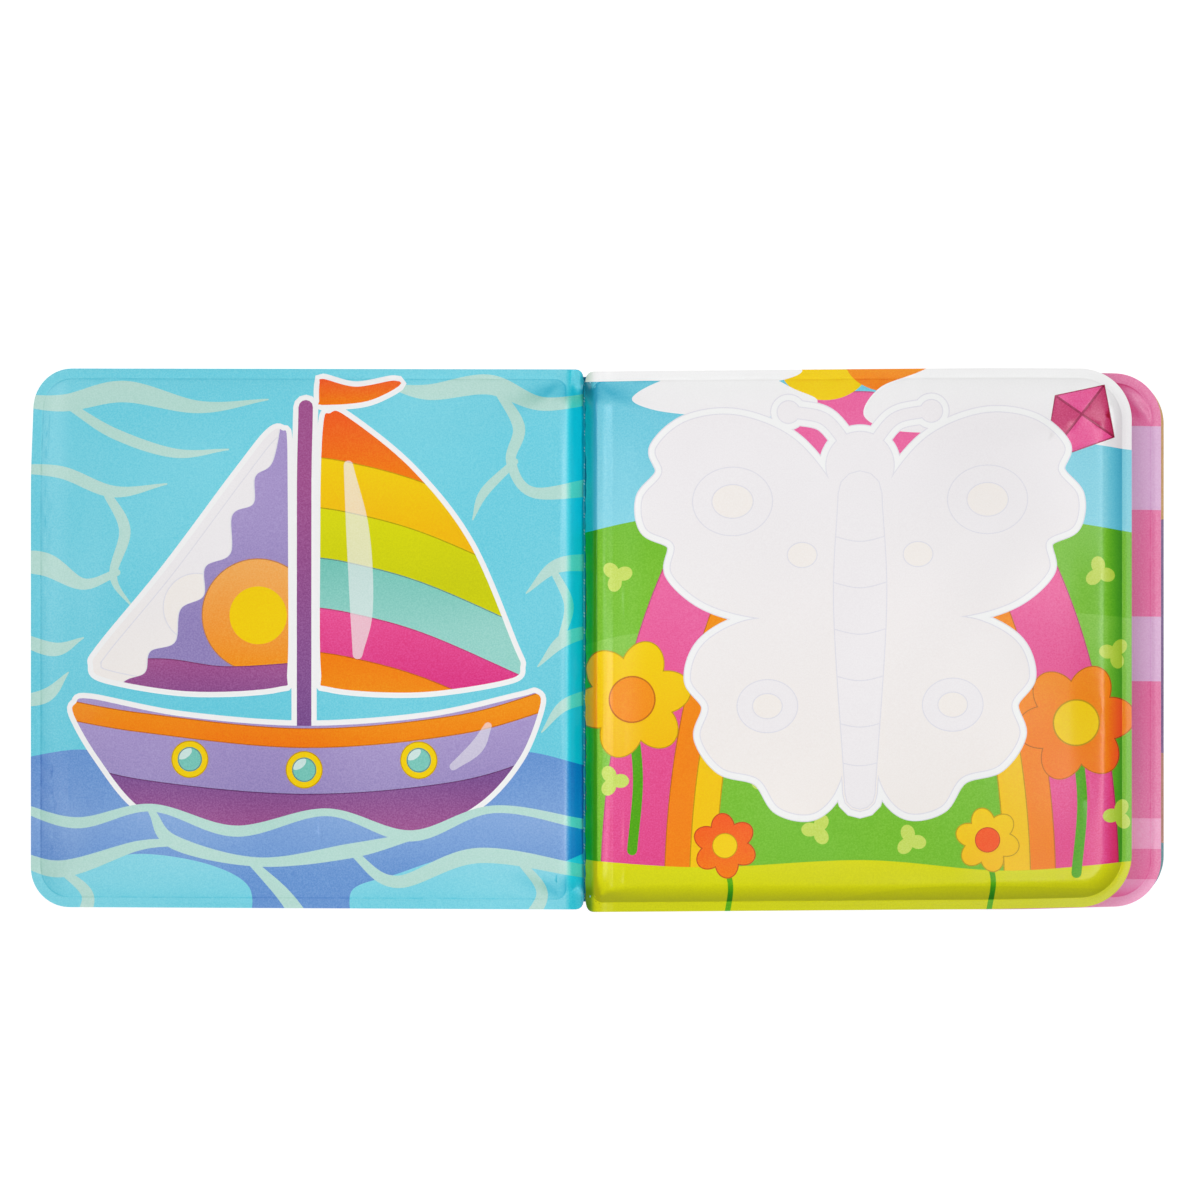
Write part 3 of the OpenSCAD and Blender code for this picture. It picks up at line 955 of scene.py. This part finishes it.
def add_gathers(tree, coords):
    """Height of the small creases beside the fold, which fade out GATHER_W from it."""
    across = tree.add("SeparateXYZ", {0: coords}).outputs["X"]
    apart = tree.math("ABSOLUTE", tree.math("SUBTRACT", across, FOLD_X * MM))
    near = tree.ranged(apart, 0.3 * GATHER_W * MM, GATHER_W * MM, 1.0, 0.0)
    stretched = tree.add("Mapping", {"Vector": coords, "Scale": GATHER_STRETCH}).outputs[0]
    return tree.math("MULTIPLY", near, tree.noise(stretched, GATHER_SCALE, 1.0))


def film_material():
    """The printed film: colours from the print attribute, painted shade where it slopes, a satin gloss."""
    tree = Tree(bpy.data.materials.new("printed_film"))
    place = tree.add("TexCoord")
    coords = place.outputs["Object"]
    normal_z = tree.add("SeparateXYZ", {0: place.outputs["Normal"]}).outputs["Z"]
    upright = tree.math("ABSOLUTE", normal_z)
    # Painted shade: the colours deepen where the film slopes, and less where it is steepest
    power = tree.ranged(upright, *SLOPE_SHADE_POWER)
    power = tree.math("ADD", power, tree.ranged(tree.noise(coords, GRAIN_SCALE, 1.0), *GRAIN_POWER))
    power = tree.math("ADD", power, tree.ranged(tree.noise(coords, CLOUD_SCALE, 1.0), *CLOUD_POWER))
    power = tree.math("ADD", power, tree.ranged(upright, *STEEP_SHADE_POWER))
    colour = tree.add("Attribute")
    colour.attribute_name = "print"
    shade_and_grain = tree.add("Gamma", {"Color": colour.outputs["Color"], "Gamma": power})
    fine = tree.noise(coords, RELIEF_SCALE)
    relief = tree.add("Bump", {"Strength": 0.2, "Distance": 0.00002, "Height": fine})
    gathered = tree.add("Bump", {
        "Distance": GATHER_D, "Height": add_gathers(tree, coords), "Normal": relief.outputs[0]})
    return tree.finish(tree.add("BsdfPrincipled", {
        "Base Color": shade_and_grain.outputs[0], "Normal": gathered.outputs[0], "Specular IOR Level": 0.3,
        "Roughness": tree.ranged(tree.noise(coords, GLOSS_SCALE), *ROUGHNESS)}))


def thread_material():
    """Two-ply sewing thread."""
    tree = Tree(bpy.data.materials.new("sewing_thread"))
    ramp = tree.add("Mix")
    ramp.data_type = "RGBA"
    tree.feed(ramp, {
        "A": (*THREAD_DARK, 1), "B": (*THREAD_LIGHT, 1),
        "Factor": tree.noise(tree.add("TexCoord").outputs["Object"], THREAD_SCALE)})
    return tree.finish(tree.add("BsdfPrincipled", {
        "Base Color": ramp.outputs["Result"], "Roughness": 0.55, "Sheen Weight": 0.3}))


PRINTED_FILM, SEWING_THREAD = film_material(), thread_material()


def quads(base, rows, sides):
    """The faces between closed rings of points that follow each other from point number base."""
    return [
        (a + j, a + (j + 1) % sides, a + (j + 1) % sides + sides, a + j + sides)
        for a in range(base, base + rows * sides, sides) for j in range(sides)]


# Rows of faces in a strip of film, and how far a strip laps onto its leaf's edge
STRIP_ROWS, EDGE_LAP = 70, 0.8


def strip(name, path, thick, inks, meet=()):
    """A strip of film along the fold. path is its section from edge to edge: x from the fold line, and z.

    inks are its colours from the pages' lower edge up, and meet the places along the fold where they meet.
    """
    line = np.array(path, float)
    run = np.gradient(line, axis=0)
    run /= np.hypot(run[:, 0], run[:, 1])[:, None]
    side = np.stack([-run[:, 1], run[:, 0]], 1) * thick / 2
    section = np.vstack([line + side, (line - side)[::-1]])
    m = len(section)
    ys = np.linspace(-FOLD_L / 2, FOLD_L / 2, STRIP_ROWS + 1)
    points = np.array([(FOLD_X + x, y, z) for y in ys for x, z in section])
    faces = [half for a, b, c, d in quads(0, STRIP_ROWS, m) for half in ((a, b, c), (a, c, d))]
    for base, order in ((0, 1), (STRIP_ROWS * m, -1)):
        for j in range(m // 2 - 1):
            a, b, c, d = base + j, base + j + 1, base + m - 2 - j, base + m - 1 - j
            faces += [(a, d, c)[::order], (a, c, b)[::order]]
    faces = np.array(faces)[:, ::-1]
    return film_object(name, points, faces, np.array(inks)[np.searchsorted(meet, points[faces, 1])])


# A stitch: sides and rings of its mesh, plies, their turns, how deep they part, the depth of its ends, and
# the share of its thickness that they keep
SIDES, RINGS, PLIES, TURNS, PARTING, END_DEPTH, END_SHARE = 12, 18, 2, 1.6, 0.22, 0.55, 0.35
# The head of a stitch: distance from the border's edge, half sizes, how deep its foot lies, rings and sides
HEAD_X, HEAD_SIZE, HEAD_SUNK, HEAD_RINGS, HEAD_SIDES = 1.15, (0.17, 0.30, 0.22), 0.05, 4, 10


def stitch_places():
    """Where the middles of the stitches lie along the fold."""
    count = int((FOLD_L - STITCH_L) / STITCH_PITCH) + 1
    return [(i - (count - 1) / 2) * STITCH_PITCH for i in range(count)]


def add_stitch(points, faces, middle, up, length):
    """Adds an arched stitch of twisted thread, above the bead where up is 1 and below it where up is -1."""
    base = len(points)
    for r in range(RINGS + 1):
        t = r / RINGS
        y = middle + (t - 0.5) * length
        arch = 1 - (2 * t - 1) ** 6
        z = BEAD_Z + up * (BEAD_R - THREAD_D / 2 - END_DEPTH * (1 - arch))
        width = THREAD_D / 2 * (END_SHARE + (1 - END_SHARE) * arch**0.5)
        for s in range(SIDES):
            a = 2 * math.pi * s / SIDES
            ply = 1 - PARTING * (0.5 + 0.5 * math.cos(PLIES * (a - 2 * math.pi * TURNS * t)))
            points.append((FOLD_X + width * ply * math.cos(a), y, z + width * ply * math.sin(a)))
    faces += [(a, d, c, b) for a, b, c, d in quads(base, RINGS, SIDES)]
    faces.append(tuple(range(base, base + SIDES)))
    faces.append(tuple(range(base + RINGS * SIDES + SIDES - 1, base + RINGS * SIDES - 1, -1)))


def thread_piece():
    """The running stitch along the fold, in stitches above the bead and between them below it."""
    points, faces = [], []
    places = stitch_places()
    for y in places:
        add_stitch(points, faces, y, 1, STITCH_L)
        if y < places[-1]:
            add_stitch(points, faces, y + STITCH_PITCH / 2, -1, STITCH_PITCH - STITCH_L + THREAD_D)
    return new_object("sewn_thread", points, faces, SEWING_THREAD)


def stitch_heads(page):
    """The ends of the stitches that show as small dots on the upper page's border beside the fold."""
    points, faces = [], []
    for y in stitch_places():
        z = UPPER_PAGE_Z + BORDER_T / 2 - page.sag(HEAD_X, y) - HEAD_SUNK
        base = len(points)
        for r in range(HEAD_RINGS + 1):
            a = math.pi / 2 * r / HEAD_RINGS
            for k in range(HEAD_SIDES):
                b = 2 * math.pi * k / HEAD_SIDES
                points.append((
                    FOLD_X + GUTTER_GAP + HEAD_X + HEAD_SIZE[0] * math.cos(a) * math.cos(b),
                    y + HEAD_SIZE[1] * math.cos(a) * math.sin(b), z + HEAD_SIZE[2] * math.sin(a)))
        faces += quads(base, HEAD_RINGS, HEAD_SIDES)
    return new_object("stitch_heads", points, faces, SEWING_THREAD)


# How much wider than the part's leaf the front cover is
FRONT_EXTRA_W = 0.75
# How the padding rises at a side: slowly towards the middle, or at once to a full edge
FLAT_SIDE, FULL_SIDE = (22.0, 2.0, 1.0, 0.0), (5.4, 1.5, 1.0, 0.2)


def build_book():
    hidden = waves_print(LILAC, LAVENDER, PALE_PINK)
    front = Leaf(
        LEAF_W + FRONT_EXTRA_W, SPINE_BORDER_W, 1, droop=1.2, sag_w=4.4, roll_w=7.4, deep=(2.8, 5.0),
        powers=(0.9, -0.25, -0.25), sides=((4.6, 2.0, 1.0, 0.0), FLAT_SIDE, FLAT_SIDE, FLAT_SIDE),
        corner_r=10.2, edges=(0.1, 0.75, -0.2, -0.05), lean=0.8)
    outside = waves_print(WATER, DEEP_WATER, BLUE)
    leaf = leaf_piece("front_cover_leaf", front, sea_print(), outside, cover_place, mirrored=True)
    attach(leaf, "front")
    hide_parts("front_cover")

    page = Leaf(
        UPPER_PAGE_W, FOLD_BORDER_W, 2, droop=2.0, sag_w=3.2, roll_w=4.0, roll_power=2.4, deep=(1.0, 2.6),
        powers=(1.4, 0.05, 0.5), sides=((4.0, 2.0, 1.0, 0.0), FULL_SIDE, FLAT_SIDE, FULL_SIDE),
        corner_r=13.5, edges=(-0.55, 0.65, -0.7, 0.35), taper=0.35)
    upper = leaf_piece("upper_page", page, meadow_print(), hidden, flat_place(GUTTER_GAP, UPPER_PAGE_Z))
    striped = Leaf(
        LEAF_W, SPINE_BORDER_W, 3, sides=(FLAT_SIDE, FLAT_SIDE, FULL_SIDE, FULL_SIDE), corner_r=12.2,
        edges=(-0.6, -0.17, -0.6, -0.17), taper=0.65, pinches=((137.0, 62.0, 4.6, 1.7, 0.6),))
    lower = leaf_piece(
        "lower_page", striped, stripes_print(), waves_print(PALE_PINK, LILAC, LAVENDER),
        flat_place(LOWER_PAGE_X, LOWER_PAGE_Z), step=(2.2, 2.2))
    for leaf in (upper, lower):
        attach(leaf, "pages")
        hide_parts("inner_pages")

    lowest = Leaf(LEAF_W, SPINE_BORDER_W, 4, corner_r=12.9, edges=(-0.6, -0.3, -0.6, -0.04), taper=0.75)
    back = leaf_piece(
        "back_cover_leaf", lowest, dunes_print(), waves_print(LAVENDER, PURPLE, LIGHT_BLUE),
        flat_place(BACK_X, BACK_Z), step=(2.2, 2.2))
    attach(back, "rear")
    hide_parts("back_cover")

    heads = stitch_heads(page)
    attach(heads, "pages")
    thread = thread_piece()
    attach(thread, "rear")
    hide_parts("stitching")
    gutter_films()


def gutter_films():
    """The films from the leaves into the sewn fold."""
    rising = curve([(0.0, BEAD_Z), (2.6, 6.0), (5.2, 3.2), (BACK_X + EDGE_LAP, BACK_Z)], 0.4)
    spine = strip("spine_film", rising, 0.6, [VIOLET])
    # The bead, and the films below from the cover and the upper page into the fold, take the gutter inks:
    # painted shade
    turn = np.linspace(-0.7 * math.pi, 1.15 * math.pi, 22)
    roll = 0.75 * BEAD_R * np.stack([np.cos(turn), np.sin(turn)], 1) + (0, BEAD_Z)
    bead = strip("rolled_fold", roll, 0.3, [SHADED_GUTTER_SEA])
    for piece in (spine, bead):
        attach(piece, "rear")

    front_edge = (-0.75, 9.35)
    path = curve([front_edge, (-0.72, 9.15), (-0.6, BEAD_Z)], 0.02)
    cover = strip("cover_fold_film", path, 0.3, [SHADED_GUTTER_SEA])
    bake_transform(cover)

    page_edge = (0.62, 11.3)
    path = curve([page_edge, (0.6, 10.4), (0.6, BEAD_Z)], 0.12)
    page = strip("page_fold_film", path, 0.3, [SHADED_GUTTER_PINK, SHADED_GUTTER_GREEN, SHADED_GUTTER_SKY], (-20, 30))
    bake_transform(page)

    low_edge = (LOWER_PAGE_X + EDGE_LAP, LOWER_PAGE_Z)
    path = curve([low_edge, (3.4, 7.9), (0.7, BEAD_Z - 0.3)], 0.25)
    low = strip("lower_fold_film", path, 0.4, [LEAF_PINK])
    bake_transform(low)


def softbox(name, place, size, radiance, aim=(0, 0, 0), diffuse=True, glossy=True):
    """A rectangular lamp at a place that faces its aim, size[0] across and size[1] up its face.

    diffuse says whether it lights the book, and glossy whether it shows in the gloss.
    """
    data = bpy.data.lights.new(name, "AREA")
    data.shape = "RECTANGLE"
    data.size, data.size_y = size
    data.energy = radiance * math.pi * size[0] * size[1]
    obj = bpy.data.objects.new(name, data)
    obj.location = place
    obj.rotation_euler = (Vector(aim) - Vector(place)).to_track_quat("-Z", "Y").to_euler()
    obj.visible_camera = False
    obj.visible_diffuse = diffuse
    obj.visible_glossy = glossy
    bpy.context.scene.collection.objects.link(obj)


# Strength of the world as a light, half width of the floor and how far below the book it lies, in mm
WORLD_LIGHT, FLOOR_HALF, FLOOR_DROP = 0.27, 3000, 0.2
SENSOR_W = 36.0


def build_lights():
    """A white world, which lights the book less than it shows, and the lamps."""
    tree = Tree(bpy.data.worlds.new("studio"))
    seen = tree.add("LightPath").outputs["Is Camera Ray"]
    strength = tree.ranged(seen, 0, 1, WORLD_LIGHT, 1.0)
    white = tree.add("Background", {"Color": (1, 1, 1, 1), "Strength": strength})
    bpy.context.scene.world = tree.finish(white, "OutputWorld")
    softbox("left_box", (-1.00, 0.40, 1.40), (0.90, 0.75), 3.4)
    softbox("right_strip", (0.40, 0.0, 1.40), (1.20, 0.26), 5.6, diffuse=False)
    # Over the right page, facing left, so that its light fades from the fold to the page's outer edge
    softbox("side_light", (0.22, 0.0, 0.40), (0.30, 0.10), 14.2, aim=(0, 0, 0.40), glossy=False)
    softbox("top_fill", (0.0, 0.85, 1.00), (1.20, 0.60), 1.3, glossy=False)
    softbox("low_front_fill", (0.0, -1.10, 0.50), (1.20, 0.60), 2.0, glossy=False)
    softbox("low_right_fill", (1.10, 0.0, 0.40), (0.60, 1.00), 1.6, glossy=False)


def floor_material():
    """Near white to the camera, in the gloss and through things, and light grey to all other light."""
    tree = Tree(bpy.data.materials.new("floor_white"))
    ray = tree.add("LightPath").outputs
    shown = tree.math("MAXIMUM", ray["Is Camera Ray"], ray["Is Glossy Ray"])
    shown = tree.math("MAXIMUM", shown, ray["Is Transmission Ray"])
    grey = tree.add("BsdfDiffuse", {"Color": (0.85, 0.85, 0.86, 1)})
    dim = tree.add("BsdfDiffuse", {"Color": (0.2, 0.2, 0.2, 1)})
    glow = tree.add("Emission", {"Strength": 0.94})
    white = tree.add("AddShader", {0: dim.outputs[0], 1: glow.outputs[0]})
    return tree.finish(tree.add("MixShader", {0: shown, 1: grey.outputs[0], 2: white.outputs[0]}))


def build_studio():
    scene = bpy.context.scene
    scene.view_settings.view_transform = "Standard"
    build_lights()
    signs = ((-1, -1), (1, -1), (1, 1), (-1, 1))
    corners = [(FLOOR_HALF * x, FLOOR_HALF * y, -FLOOR_DROP) for x, y in signs]
    floor = new_object("floor", corners, [(0, 1, 2, 3)], floor_material())

    lens = bpy.data.cameras.new("camera")
    lens.sensor_fit = "HORIZONTAL"
    lens.sensor_width = SENSOR_W
    lens.lens = SENSOR_W * CAMERA_H / VIEW_W
    lens.clip_start, lens.clip_end = 0.01, 10.0
    camera = bpy.data.objects.new("camera", lens)
    camera.location = (CAMERA_X * MM, CAMERA_Y * MM, CAMERA_H * MM)
    scene.collection.objects.link(camera)
    scene.camera = camera
build_studio()
build_book()
